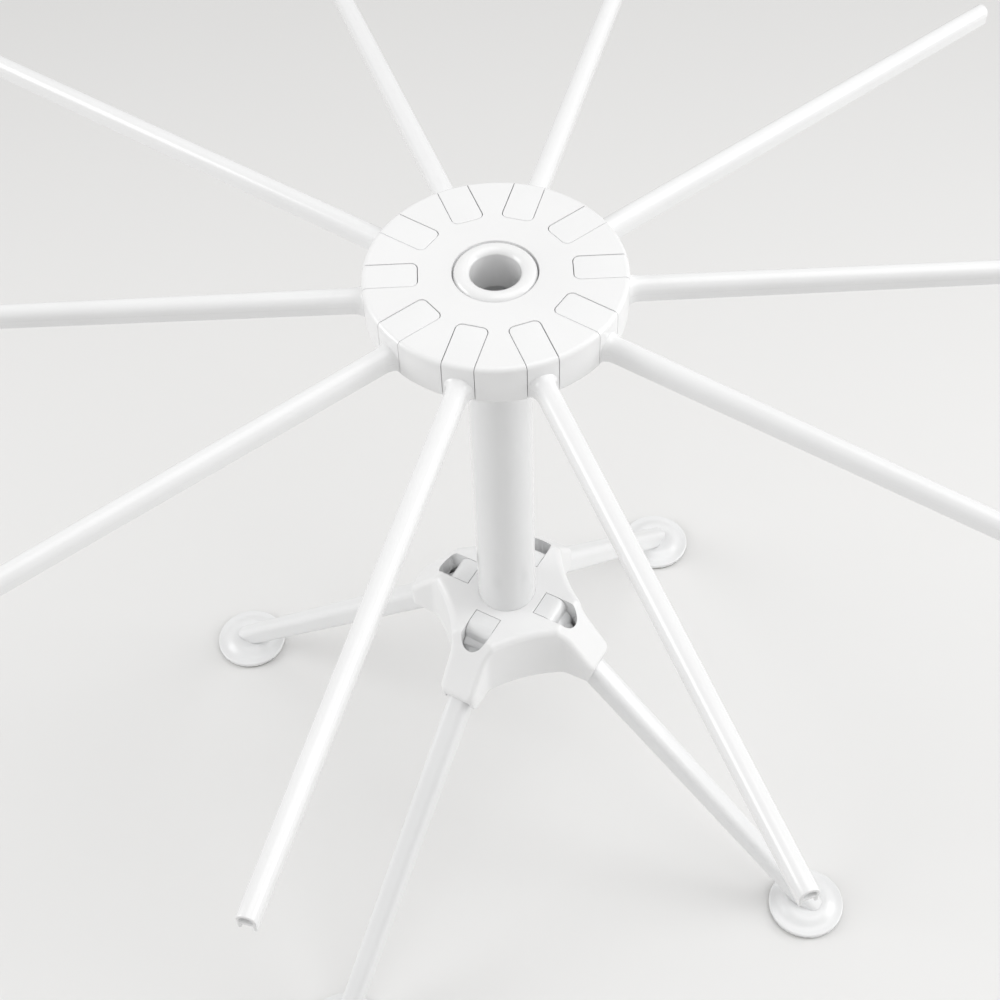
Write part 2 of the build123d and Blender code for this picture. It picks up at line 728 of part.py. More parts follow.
# Leg, made once along X and turned to its place
with BuildPart() as leg_form:
    root = leg_section(along_leg(0), leg_root_width, leg_root_height)
    tip = leg_section(along_leg(leg_length + leg_spare), leg_tip_width, leg_tip_height)
    loft([root.sketch.face(), tip.sketch.face()], ruled=True)
    # channel along the underside
    start = channel_section(
        along_leg(leg_channel_start), leg_root_width, leg_root_height, leg_channel_wall, leg_channel_depth
    )
    stop = channel_section(
        along_leg(leg_length - leg_channel_end), leg_tip_width, leg_tip_height,
        leg_channel_wall, leg_channel_depth,
    )
    loft([start.sketch.face(), stop.sketch.face()], ruled=True, mode=Mode.SUBTRACT)
    # level end that stands on the foot
    with BuildSketch(Plane.XY.offset(leg_end)):
        with Locations((foot_reach, 0)):
            Rectangle(foot_reach, foot_reach)
    extrude(amount=-(leg_end + leg_spare), mode=Mode.SUBTRACT)
    # knuckle and the block that fills the slot in the base
    with BuildSketch(Plane.XZ):
        with Locations((leg_hinge_radius, leg_axis)):
            Circle(leg_knuckle_radius)
    extrude(amount=leg_half, both=True)
    with BuildSketch(Plane.XZ) as leg_block:
        block_start = leg_slot_inner + slot_gap
        with Locations((block_start, leg_axis)):
            Rectangle(leg_block_reach - block_start, base_top - leg_axis, align=(Align.MIN, Align.MIN))
        fillet(leg_block.vertices().group_by(Axis.Y)[-1].sort_by(Axis.X)[-1], radius=leg_block_round)
    extrude(amount=leg_half, both=True)
    # hinge pegs and the tenon in the foot
    with BuildSketch(Plane.XZ):
        with Locations((leg_hinge_radius, leg_axis)):
            Circle(leg_peg_radius)
    extrude(amount=leg_slot_half + leg_peg_grip, both=True)
    with BuildSketch(Plane.XY.offset(leg_end)):
        with Locations((foot_reach, 0)):
            Circle(leg_tenon_radius)
    extrude(amount=-leg_tenon_length)

# Foot: a shallow dome with a flat edge, held by the leg's tenon
with BuildPart() as foot_form:
    dome_low = pad_height + foot_edge_height
    with BuildSketch(Plane.XZ) as foot_profile:
        with BuildLine():
            Polyline((foot_seat_radius, leg_end), (0, leg_end), (0, pad_height), (foot_radius, pad_height))
            Line((foot_radius, pad_height), (foot_radius, dome_low))
            Line((foot_radius, dome_low), (foot_dome_radius, dome_low))
            Spline((foot_dome_radius, dome_low), (foot_seat_radius, leg_end), tangents=[(-1, 0), (-1, 0)])
        make_face()
        fillet(foot_profile.vertices().group_by(Axis.X)[-1].sort_by(Axis.Y)[-1], radius=foot_edge_round)
    revolve(axis=Axis.Z)
    with BuildSketch(Plane.XY.offset(leg_end)):
        Circle(leg_tenon_radius + seat_gap)
    extrude(amount=-(leg_tenon_length + seat_gap), mode=Mode.SUBTRACT)

# Pad: a soft ring under the foot
with BuildPart() as pad_form:
    with BuildSketch(Plane.XY):
        Circle(pad_radius)
        Circle(pad_bore_radius, mode=Mode.SUBTRACT)
    extrude(amount=pad_height)

for number in range(leg_count):
    lobe_angle = first_leg_angle + number * leg_step_angle
    with BuildPart() as leg:
        add(leg_form.part.rotate(Axis.Z, lobe_angle))
    save(leg, f"leg_{number + 1}")
    with BuildPart() as foot:
        add(foot_form.part.translate((foot_reach, 0, 0)).rotate(Axis.Z, lobe_angle))
    save(foot, f"foot_{number + 1}")
    with BuildPart() as foot_pad:
        add(pad_form.part.translate((foot_reach, 0, 0)).rotate(Axis.Z, lobe_angle))
    save(foot_pad, f"foot_pad_{number + 1}")
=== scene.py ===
"""Finish and stage for a folding rack: moulded hub with ten arms, tube column, base and four folding legs."""
import json
import math

import bmesh
import bpy
from bpy.props import FloatProperty, FloatVectorProperty, IntProperty, PointerProperty
from mathutils import Matrix, Vector


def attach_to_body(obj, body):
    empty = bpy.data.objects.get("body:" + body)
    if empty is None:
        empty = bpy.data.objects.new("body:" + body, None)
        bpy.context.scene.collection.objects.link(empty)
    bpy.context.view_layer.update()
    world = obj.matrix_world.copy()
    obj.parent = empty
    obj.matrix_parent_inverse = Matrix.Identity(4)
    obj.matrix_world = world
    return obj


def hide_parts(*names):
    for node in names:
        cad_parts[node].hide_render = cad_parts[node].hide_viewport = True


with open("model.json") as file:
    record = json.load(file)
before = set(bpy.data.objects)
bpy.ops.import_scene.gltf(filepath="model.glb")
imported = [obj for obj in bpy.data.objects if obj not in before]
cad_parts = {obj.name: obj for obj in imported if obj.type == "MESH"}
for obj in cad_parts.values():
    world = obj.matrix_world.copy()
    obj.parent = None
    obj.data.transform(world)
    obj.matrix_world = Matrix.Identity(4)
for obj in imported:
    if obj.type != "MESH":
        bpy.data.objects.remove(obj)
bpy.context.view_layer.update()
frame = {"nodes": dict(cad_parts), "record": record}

bl_info = {
    "name": "Folding drying rack",
    "version": (1, 0, 0),
    "blender": (4, 5, 0),
    "location": "3D View > Sidebar > Rack",
    "description": "Moulded plastic, steel and rubber finishes for a folding rack, with its stage",
    "category": "Object",
}

MM = 0.001
ARM_NAMES = sorted(name for name in frame["nodes"] if name.startswith("arm_"))
LEG_NAMES = sorted(name for name in frame["nodes"] if name.startswith("leg_"))
FOOT_NAMES = [name.replace("leg_", "foot_") for name in LEG_NAMES]
PAD_NAMES = [name.replace("leg_", "foot_pad_") for name in LEG_NAMES]

QUARTER = math.pi / 2


# ---------------------------------------------------------------- fixed sizes

# smoothing of a mesh: vertices closer than the seam are one, and edges bent further than the angle stay sharp
COPY_SEAM = 0.002 * MM
COPY_SHARP = math.radians(24.0)
FORM_SEAM = 0.0001 * MM
FORM_SHARP = math.radians(32.0)

# turned profiles, as corners (radius, height, rounding) in millimetres
COLUMN_CORNERS = (
    (12.3, 142.2, 0.2), (14.3, 142.2, 0.2), (14.3, 368.3, 1.2), (19.0, 373.0, 0.5),
    (19.0, 375.95, 0.3), (14.3, 375.95, 0.1), (14.3, 392.5, 0.2), (12.3, 392.5, 0.2),
)
CAP_CORNERS = ((17.4, 392.5, 0.3), (12.24, 392.5, 0.1), (12.24, 376.5, 0.2), (10.6, 376.5, 0.5))
# the cap's top is an arc over its ring: place of its crest, half its width and its rise, in millimetres
CAP_CREST = (14.0, 397.2)
CAP_HALF_WIDTH = 3.4
CAP_RISE = 2.3
CAP_STEPS = 10

# hub, as far as the arms need it
HUB_RADIUS = 55.0 * MM
HINGE_RADIUS = 46.0 * MM
RIM_ROUND = 2.2 * MM

# cross-section of an arm
ARM_SKIRT_STEP = 0.25 * MM
ARM_SKIRT_HEIGHT = 4.2 * MM
ARM_SKIRT_ROUND = 0.10 * MM
ARM_LOWER_ROUND = 0.32 * MM
ARM_CHANNEL_WALL = 1.5 * MM
ARM_CHANNEL_DEPTH = 2.8 * MM
ARM_CHANNEL_START = 0.06 * MM
ARM_CHANNEL_RAMP = 1.8 * MM
ARM_WEB = 1.1 * MM
ARM_ARCH_STEPS = 24
ARM_RAMP_STEPS = 5
ARM_ROD_STEPS = 23

# shoulder of an arm: distance from the hub's rim, width, height, rise and step of the skirt, in millimetres
SHOULDER = (
    (-2.3, 11.8, 10.8, 0.5, 0.02), (-0.2, 11.8, 10.8, 0.5, 0.02), (0.25, 11.0, 10.5, 0.38, 0.05),
    (0.8, 10.2, 10.25, 0.24, 0.09), (1.6, 9.5, 10.0, 0.1, 0.14), (2.6, 8.95, 9.88, 0.04, 0.2),
    (3.6, 8.65, 9.82, 0.01, 0.25),
)
SHOULDER_LENGTH = 4.6 * MM

# tip of an arm: the pocket's wall, and its depth and spread in millimetres from mouth to floor
TIP_ROUND = 0.4 * MM
TIP_WALL = 1.2 * MM
TIP_STEPS = 4
POCKET = ((0.0, 0.22), (0.07, 0.07), (0.22, 0.0), (2.7, -0.08), (3.0, -0.35))
POCKET_CORNER = 0.45 * MM
POCKET_STEPS = 16

# hinge block of an arm, with the hollow in it as corners (along, across, rounding), and the loops of its pegs
# (distance out of the block, radius), both in millimetres
BLOCK_INNER = 32.0 * MM
BLOCK_BOTTOM = 378.05 * MM
BLOCK_EDGE = 0.4 * MM
BLOCK_CORNER = 2.7 * MM
BLOCK_FACE_STEPS = 12
BLOCK_CORNER_STEPS = 6
BLOCK_LOW_STEPS = 4
BLOCK_RIM_STEPS = 8
BLOCK_EDGE_STEPS = 4
CORE_CORNERS = ((36.8, -4.3, 1.1), (50.4, -4.3, 1.1), (50.4, 4.3, 1.1), (36.8, 4.3, 1.1))
CORE_TOP = 393.0 * MM
PEG = ((-2.3, 2.5), (2.05, 2.5), (2.3, 2.25))
PEG_STEPS = 40

# rings of screws: node, count, radius of the ring, height of the heads and direction of the first screw;
# each screw's cross is turned further than the last one's
SCREW_RINGS = (
    ("hub_screws", 5, 24.6 * MM, 376.0 * MM, math.radians(18.6)),
    ("base_screws", 4, 23.4 * MM, 140.0 * MM, math.radians(104.0)),
)
SCREW_TURN = 0.73
HEAD_SIDES = 40
SHANK_SIDES = 24

# stage: floor, and lamps with their place, width, spread in degrees and setting
FLOOR_REACH = 6.0
LAMPS = (
    ("overhead lamp", (0.50, -0.15, 1.7), 1.4, 180.0, "key_power"),
    ("left lamp", (-1.40, 0.05, 0.80), 0.9, 110.0, "side_power"),
    ("right lamp", (1.40, 0.05, 0.80), 0.9, 110.0, "side_power"),
)
LAMP_TARGET = (0.0, 0.0, 0.25)


# ---------------------------------------------------------------- settings

class RackFinish(bpy.types.PropertyGroup):
    """Colours and surface detail of the rack's materials."""

    shell_colour: FloatVectorProperty(
        name="Hub and base", description="Colour of the moulded hub and base",
        subtype="COLOR", size=3, min=0.0, max=1.0, default=(0.88, 0.882, 0.885))
    arm_colour: FloatVectorProperty(
        name="Arms", description="Colour of the moulded arms",
        subtype="COLOR", size=3, min=0.0, max=1.0, default=(0.885, 0.888, 0.892))
    column_colour: FloatVectorProperty(
        name="Column", description="Colour of the tube",
        subtype="COLOR", size=3, min=0.0, max=1.0, default=(0.82, 0.825, 0.83))
    leg_colour: FloatVectorProperty(
        name="Legs", description="Colour of the legs and feet",
        subtype="COLOR", size=3, min=0.0, max=1.0, default=(0.84, 0.845, 0.85))
    cover_colour: FloatVectorProperty(
        name="Covers", description="Colour of the plates under the hub and base",
        subtype="COLOR", size=3, min=0.0, max=1.0, default=(0.78, 0.78, 0.775))
    pad_colour: FloatVectorProperty(
        name="Pads", description="Colour of the soft rings under the feet",
        subtype="COLOR", size=3, min=0.0, max=1.0, default=(0.34, 0.34, 0.32))
    steel_colour: FloatVectorProperty(
        name="Screws", description="Colour of the steel screws",
        subtype="COLOR", size=3, min=0.0, max=1.0, default=(0.56, 0.56, 0.57))
    edge_round: FloatProperty(
        name="Edge rounding", description="Radius that softens the moulded edges",
        default=0.35 * MM, min=0.0, unit="LENGTH", precision=5)
    peel_depth: FloatProperty(
        name="Surface ripple", description="Depth of the fine ripple of a polished mould",
        default=0.0045 * MM, min=0.0, unit="LENGTH", precision=6)
    scuffing: FloatProperty(
        name="Scuffing", description="How far handling marks dull the gloss",
        default=0.3, min=0.0, max=1.0, subtype="FACTOR")


class RackArm(bpy.types.PropertyGroup):
    """Sizes of a moulded arm and its place on the hub."""

    reach: FloatProperty(
        name="Reach", description="Distance of the tip from the column's axis",
        default=291.5 * MM, min=0.1, unit="LENGTH", precision=4)
    axis_height: FloatProperty(
        name="Axis height", description="Height of the arm's middle over the table",
        default=383.5 * MM, min=0.0, unit="LENGTH", precision=4)
    hub_top: FloatProperty(
        name="Hub top", description="Height of the hub's flat top",
        default=396.0 * MM, min=0.0, unit="LENGTH", precision=4)
    root_width: FloatProperty(
        name="Root width", description="Width of the rod at the hub",
        default=8.5 * MM, min=0.0, unit="LENGTH", precision=5)
    root_height: FloatProperty(
        name="Root height", description="Height of the rod at the hub",
        default=9.8 * MM, min=0.0, unit="LENGTH", precision=5)
    tip_width: FloatProperty(
        name="Tip width", description="Width of the rod at its tip",
        default=7.3 * MM, min=0.0, unit="LENGTH", precision=5)
    tip_height: FloatProperty(
        name="Tip height", description="Height of the rod at its tip",
        default=8.8 * MM, min=0.0, unit="LENGTH", precision=5)
    block_width: FloatProperty(
        name="Block width", description="Width of the block in the hub's slot",
        default=13.2 * MM, min=0.0, unit="LENGTH", precision=5)
    first_angle: FloatProperty(
        name="First angle", description="Direction of the first arm",
        default=math.radians(0.6), subtype="ANGLE")
    count: IntProperty(
        name="Arms", description="How many arms stand round the hub", default=len(ARM_NAMES), min=1)


class RackScrew(bpy.types.PropertyGroup):
    """Sizes of the countersunk screws."""

    head_radius: FloatProperty(
        name="Head radius", description="Radius of the screw's head",
        default=3.0 * MM, min=0.0, unit="LENGTH", precision=5)
    head_height: FloatProperty(
        name="Head height", description="Height of the tapered head",
        default=1.5 * MM, min=0.0, unit="LENGTH", precision=5)
    shank_radius: FloatProperty(
        name="Shank radius", description="Radius of the shank",
        default=1.5 * MM, min=0.0, unit="LENGTH", precision=5)
    length: FloatProperty(
        name="Length", description="Length with the head",
        default=11.0 * MM, min=0.0, unit="LENGTH", precision=5)
    cross_length: FloatProperty(
        name="Cross length", description="Length of the driver's cross",
        default=3.4 * MM, min=0.0, unit="LENGTH", precision=5)
    cross_width: FloatProperty(
        name="Cross width", description="Width of the driver's cross",
        default=0.9 * MM, min=0.0, unit="LENGTH", precision=5)


class RackStage(bpy.types.PropertyGroup):
    """Floor, light and camera."""

    floor_colour: FloatVectorProperty(
        name="Floor", description="Colour of the floor",
        subtype="COLOR", size=3, min=0.0, max=1.0, default=(0.812, 0.810, 0.806))
    key_power: FloatProperty(
        name="Main lamp", description="Power of the large lamp overhead",
        default=8.2, min=0.0, unit="POWER")
    side_power: FloatProperty(
        name="Side lamps", description="Power of the lamps at the sides",
        default=3.2, min=0.0, unit="POWER")
    sky_strength: FloatProperty(
        name="Surround light", description="Strength of the even light from all round",
        default=0.60, min=0.0)
    lens: FloatProperty(
        name="Lens", description="Focal length for a 36 mm wide sensor",
        default=66.022, min=1.0, unit="CAMERA")
    camera_place: FloatVectorProperty(
        name="Camera", description="Where the camera stands",
        subtype="TRANSLATION", size=3, unit="LENGTH", default=(0.0, -0.53927, 0.92297))
    camera_pitch: FloatProperty(
        name="Downward tilt", description="Angle of the view below the horizon",
        default=0.89807518, subtype="ANGLE")
    camera_yaw: FloatProperty(
        name="Swing", description="Angle of the view to the side",
        default=-0.00330907, subtype="ANGLE")
    camera_roll: FloatProperty(
        name="Roll", description="Turn of the camera about its view",
        default=-0.03949248, subtype="ANGLE")


# ---------------------------------------------------------------- shader tools

def new_group(name, inputs, outputs):
    """Makes a shader node group with named sockets."""
    tree = bpy.data.node_groups.new(name, "ShaderNodeTree")
    for socket, kind, value in inputs:
        made = tree.interface.new_socket(socket, in_out="INPUT", socket_type=kind)
        if value is not None:
            made.default_value = value
    for socket, kind in outputs:
        tree.interface.new_socket(socket, in_out="OUTPUT", socket_type=kind)
    return tree, tree.nodes.new("NodeGroupInput"), tree.nodes.new("NodeGroupOutput")


def math_node(tree, operation, first, second):
    """Adds a Math node fed by sockets or numbers."""
    node = tree.nodes.new("ShaderNodeMath")
    node.operation = operation
    for number, value in enumerate((first, second)):
        if isinstance(value, (int, float)):
            node.inputs[number].default_value = value
        else:
            tree.links.new(value, node.inputs[number])
    return node.outputs[0]


def range_node(tree, value, low, high, new_low, new_high):
    """Adds a Map Range node."""
    node = tree.nodes.new("ShaderNodeMapRange")
    tree.links.new(value, node.inputs["Value"])
    for name, number in (("From Min", low), ("From Max", high), ("To Min", new_low), ("To Max", new_high)):
        if isinstance(number, (int, float)):
            node.inputs[name].default_value = number
        else:
            tree.links.new(number, node.inputs[name])
    return node.outputs["Result"]


def moulded_surface():
    """Group for moulded surfaces: uneven tint, scuffs, haze and the ripple and grain of a mould's face."""
    name = "Moulded surface"
    if name in bpy.data.node_groups:
        return bpy.data.node_groups[name]
    tree, inner, outer = new_group(
        name,
        [("Colour", "NodeSocketColor", (0.8, 0.8, 0.8, 1.0)), ("Shade Depth", "NodeSocketFloat", 0.03),
         ("Gloss Roughness", "NodeSocketFloat", 0.25), ("Scuffing", "NodeSocketFloat", 0.5),
         ("Ripple Scale", "NodeSocketFloat", 900.0), ("Grain Scale", "NodeSocketFloat", 2600.0),
         ("Grain Share", "NodeSocketFloat", 0.2)],
        [("Colour", "NodeSocketColor"), ("Roughness", "NodeSocketFloat"), ("Height", "NodeSocketFloat")])
    place = tree.nodes.new("ShaderNodeTexCoord").outputs["Object"]

    def noise(scale, detail, rough):
        node = tree.nodes.new("ShaderNodeTexNoise")
        node.inputs["Detail"].default_value = detail
        node.inputs["Roughness"].default_value = rough
        tree.links.new(place, node.inputs["Vector"])
        if isinstance(scale, (int, float)):
            node.inputs["Scale"].default_value = scale
        else:
            tree.links.new(scale, node.inputs["Scale"])
        return node.outputs[0]

    # flow of the melt: slow change of shade
    flow = noise(scale=22.0, detail=3.0, rough=0.55)
    shade = range_node(tree, flow, 0.3, 0.7, 0.0, inner.outputs["Shade Depth"])
    keep = math_node(tree, "SUBTRACT", 1.0, shade)
    tint = tree.nodes.new("ShaderNodeMix")
    tint.data_type = "RGBA"
    tint.blend_type = "MULTIPLY"
    tint.inputs["Factor"].default_value = 1.0
    tree.links.new(inner.outputs["Colour"], tint.inputs["A"])
    tree.links.new(keep, tint.inputs["B"])
    tree.links.new(tint.outputs["Result"], outer.inputs["Colour"])
    # scuffs: thin scratches in two directions, kept to worn patches
    marks = []
    for turn in (0.5, 2.1):
        mapping = tree.nodes.new("ShaderNodeMapping")
        mapping.inputs["Rotation"].default_value = (turn, turn * 0.7, turn * 1.3)
        mapping.inputs["Scale"].default_value = (1.0, 26.0, 26.0)
        tree.links.new(place, mapping.inputs["Vector"])
        wave = tree.nodes.new("ShaderNodeTexNoise")
        wave.inputs["Scale"].default_value = 34.0
        wave.inputs["Detail"].default_value = 2.0
        tree.links.new(mapping.outputs["Vector"], wave.inputs["Vector"])
        marks.append(range_node(tree, wave.outputs[0], 0.6, 0.9, 0.0, 1.0))
    scratch = math_node(tree, "MAXIMUM", marks[0], marks[1])
    patches = range_node(tree, noise(scale=30.0, detail=1.0, rough=0.4), 0.45, 0.8, 0.0, 1.0)
    worn = math_node(tree, "MULTIPLY", scratch, patches)
    worn = math_node(tree, "MULTIPLY", worn, inner.outputs["Scuffing"])
    haze = range_node(tree, noise(scale=45.0, detail=2.0, rough=0.45), 0.15, 0.85, 0.0, 0.05)
    rough = math_node(tree, "ADD", inner.outputs["Gloss Roughness"], haze)
    dulled = math_node(tree, "MULTIPLY", worn, 0.1)
    rough = math_node(tree, "ADD", rough, dulled)
    tree.links.new(rough, outer.inputs["Roughness"])
    # ripple and grain of the mould's face, with the scratches cut in
    ripple = noise(inner.outputs["Ripple Scale"], detail=1.0, rough=0.4)
    grain = noise(inner.outputs["Grain Scale"], detail=2.0, rough=0.5)
    fine = math_node(tree, "MULTIPLY", grain, inner.outputs["Grain Share"])
    height = math_node(tree, "ADD", ripple, fine)
    cut = math_node(tree, "MULTIPLY", worn, 0.15)
    height = math_node(tree, "SUBTRACT", height, cut)
    tree.links.new(height, outer.inputs["Height"])
    return tree


def new_skin(name):
    """Makes a material of one Principled shader and returns it with its tree and shader."""
    material = bpy.data.materials.new(name)
    material.use_nodes = True
    tree = material.node_tree
    tree.nodes.clear()
    out = tree.nodes.new("ShaderNodeOutputMaterial")
    skin = tree.nodes.new("ShaderNodeBsdfPrincipled")
    tree.links.new(skin.outputs["BSDF"], out.inputs["Surface"])
    return material, tree, skin


def dress_skin(tree, skin, colour, depth, values):
    """Feeds a shader from the moulded surface, its relief at the given depth, and returns the Bump node."""
    surface = tree.nodes.new("ShaderNodeGroup")
    surface.node_tree = moulded_surface()
    surface.inputs["Colour"].default_value = (*colour, 1.0)
    for name, value in values.items():
        surface.inputs[name].default_value = value
    tree.links.new(surface.outputs["Colour"], skin.inputs["Base Color"])
    tree.links.new(surface.outputs["Roughness"], skin.inputs["Roughness"])
    bump = tree.nodes.new("ShaderNodeBump")
    bump.inputs["Distance"].default_value = depth
    tree.links.new(surface.outputs["Height"], bump.inputs["Height"])
    tree.links.new(bump.outputs["Normal"], skin.inputs["Normal"])
    return bump


def plastic(name, colour, roughness, ripple_scale, grain_share, coat, shade_depth=0.03, depth_factor=1.0,
            soften=True):
    """Material of a moulded white plastic; soften rounds the edges of a shape that has sharp ones."""
    finish = bpy.context.scene.rack_finish
    material, tree, skin = new_skin(name)
    bump = dress_skin(tree, skin, colour, finish.peel_depth * depth_factor, {
        "Shade Depth": shade_depth, "Gloss Roughness": roughness, "Scuffing": finish.scuffing,
        "Ripple Scale": ripple_scale, "Grain Share": grain_share,
    })
    skin.inputs["IOR"].default_value = 1.49
    skin.inputs["Coat Weight"].default_value = coat
    skin.inputs["Coat Roughness"].default_value = 0.12
    if soften and finish.edge_round > 0:
        edge = tree.nodes.new("ShaderNodeBevel")
        edge.samples = 8
        edge.inputs["Radius"].default_value = finish.edge_round
        tree.links.new(edge.outputs["Normal"], bump.inputs["Normal"])
    return material


def cover_plastic(name):
    """Material of the plates under the hub and base: duller and grained."""
    return plastic(name, bpy.context.scene.rack_finish.cover_colour, roughness=0.42, ripple_scale=1200.0,
                   grain_share=0.7, coat=0.0, shade_depth=0.05, depth_factor=1.6)


def rubber(name, colour):
    """Material of the soft grey pads: matt and finely pitted."""
    material, tree, skin = new_skin(name)
    dress_skin(tree, skin, colour, 0.03 * MM, {
        "Shade Depth": 0.18, "Gloss Roughness": 0.72, "Scuffing": 0.3,
        "Ripple Scale": 2400.0, "Grain Scale": 6000.0, "Grain Share": 0.8,
    })
    return material


def steel(name, colour):
    """Material of the plated screws: fine turning marks and a little staining."""
    material, tree, skin = new_skin(name)
    skin.inputs["Metallic"].default_value = 1.0
    dress_skin(tree, skin, colour, 0.008 * MM, {
        "Shade Depth": 0.25, "Gloss Roughness": 0.3, "Scuffing": 1.0, "Ripple Scale": 5200.0,
    })
    return material


# ---------------------------------------------------------------- shape tools

def body_of_node(node):
    """Name of the body that carries a CAD node."""
    for body, members in frame["record"]["behaviour"]["bodies"].items():
        if node in members:
            return body
    raise RuntimeError("no body carries " + node)


def rounded_outline(corners, steps=4):
    """Closed outline of corners (across, up, radius), each rounded by its radius."""
    points = []
    for number, (across, up, radius) in enumerate(corners):
        corner = Vector((across, up))
        if radius <= 0.0:
            points.append(corner)
            continue
        back = (Vector(corners[number - 1][:2]) - corner).normalized()
        ahead = (Vector(corners[(number + 1) % len(corners)][:2]) - corner).normalized()
        half = back.angle(ahead) / 2
        middle = corner + (back + ahead).normalized() * (radius / math.sin(half))
        start = corner + back * (radius / math.tan(half)) - middle
        stop = corner + ahead * (radius / math.tan(half)) - middle
        first = math.atan2(start.y, start.x)
        sweep = (math.atan2(stop.y, stop.x) - first + math.pi) % (2 * math.pi) - math.pi
        for step in range(steps + 1):
            angle = first + sweep * step / steps
            points.append(middle + Vector((math.cos(angle), math.sin(angle))) * radius)
    return points


def loft(bm, loops, closed_start=False, closed_end=False):
    """Skins a run of loops of equal length and returns their vertices."""
    rings = [[bm.verts.new(point) for point in loop] for loop in loops]
    for near, far in zip(rings, rings[1:]):
        for number in range(len(near)):
            after = (number + 1) % len(near)
            bm.faces.new((near[number], near[after], far[after], far[number]))
    if closed_start:
        bm.faces.new(list(reversed(rings[0])))
    if closed_end:
        bm.faces.new(rings[-1])
    return rings


def ring_edges(bm, ring):
    """Edges of one closed ring of vertices."""
    return [bm.edges.get((ring[number - 1], ring[number])) or bm.edges.new((ring[number - 1], ring[number]))
            for number in range(len(ring))]


def fill_between(bm, *rings):
    """Fills a flat face between rings, the later ones being holes."""
    edges = []
    for ring in rings:
        edges.extend(ring_edges(bm, ring))
    bmesh.ops.triangle_fill(bm, use_beauty=True, use_dissolve=False, edges=edges)


def finished_mesh(bm, name):
    """Closes a mesh's seams, turns its faces outwards and marks its sharp edges."""
    bmesh.ops.remove_doubles(bm, verts=bm.verts, dist=FORM_SEAM)
    bmesh.ops.recalc_face_normals(bm, faces=bm.faces)
    mesh = bpy.data.meshes.new(name)
    bm.to_mesh(mesh)
    bm.free()
    mesh.shade_smooth()
    mesh.set_sharp_from_angle(angle=FORM_SHARP)
    return mesh


def form_object(name, mesh):
    """Object that holds a mesh for a modifier or a node tree, until it is dropped."""
    form = bpy.data.objects.new(name, mesh)
    bpy.context.scene.collection.objects.link(form)
    return form


def drop_form(form):
    """Removes a form and its mesh."""
    mesh = form.data
    bpy.data.objects.remove(form)
    bpy.data.meshes.remove(mesh)


def evened(mesh, name):
    """Mesh shaded by its larger faces, so that flat faces stay flat beside small roundings."""
    source = form_object(name + "_source", mesh)
    even = source.modifiers.new("even", "WEIGHTED_NORMAL")
    even.mode = "FACE_AREA_WITH_ANGLE"
    even.keep_sharp = True
    graph = bpy.context.evaluated_depsgraph_get()
    skin = bpy.data.meshes.new_from_object(source.evaluated_get(graph), depsgraph=graph)
    drop_form(source)
    skin.name = name
    return skin


def attach(node, mesh, material):
    """Shows a mesh in place of a CAD node, on that node's body."""
    mesh.materials.clear()
    mesh.materials.append(material)
    piece = bpy.data.objects.new(mesh.name, mesh)
    bpy.context.scene.collection.objects.link(piece)
    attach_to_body(piece, body_of_node(node))
    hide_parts(node)


def moulded(node, material):
    """Shows a smooth-skinned copy of a CAD node: seams closed, flat faces kept flat, curves shaded round."""
    bm = bmesh.new()
    bm.from_mesh(frame["nodes"][node].data)
    bmesh.ops.remove_doubles(bm, verts=bm.verts, dist=COPY_SEAM)
    mesh = bpy.data.meshes.new(node + "_copy")
    bm.to_mesh(mesh)
    bm.free()
    mesh.shade_smooth()
    mesh.set_sharp_from_angle(angle=COPY_SHARP)
    attach(node, evened(mesh, "moulded_" + node), material)


def turned(node, corners, material, steps=144):
    """Shows a turned shape in place of a CAD node, from corners (radius, height, rounding) in millimetres."""
    outline = rounded_outline([(across * MM, up * MM, radius * MM) for across, up, radius in corners])
    loops = []
    for step in range(steps + 1):
        angle = 2 * math.pi * step / steps
        across, along = math.cos(angle), math.sin(angle)
        loops.append([Vector((point.x * across, point.x * along, point.y)) for point in outline])
    bm = bmesh.new()
    loft(bm, loops)
    mesh = finished_mesh(bm, node + "_form")
    attach(node, evened(mesh, "moulded_" + node), material)


def arch(radius, centre, steps):
    """Corners of a half circle from left to right, over its centre's height."""
    corners = []
    for step in range(steps + 1):
        angle = math.pi * (1 - step / steps)
        corners.append((radius * math.cos(angle), centre + radius * math.sin(angle), 0.0))
    return corners


def arm_outline(width, height, inset, depth, skirt):
    """Arm's cross-section: round top, straight sides, set-in skirt and open channel below."""
    half = width / 2 - inset
    low = -height / 2 + inset
    line = -height / 2 + ARM_SKIRT_HEIGHT
    slot = width / 2 - ARM_CHANNEL_WALL + inset
    left = [
        (-half + skirt, low, ARM_LOWER_ROUND),
        (-half + skirt, line - ARM_SKIRT_STEP, ARM_SKIRT_ROUND),
        (-half, line, ARM_SKIRT_ROUND),
    ]
    top = arch(half, height / 2 - width / 2, ARM_ARCH_STEPS)
    right = [(-across, up, radius) for across, up, radius in reversed(left)]
    # the channel's rounding stays under half its depth
    inner = min(ARM_LOWER_ROUND, depth * 0.45)
    channel = [(slot, low, inner), (slot, low + depth, inner), (-slot, low + depth, inner), (-slot, low, inner)]
    return rounded_outline(left + top + right + channel)


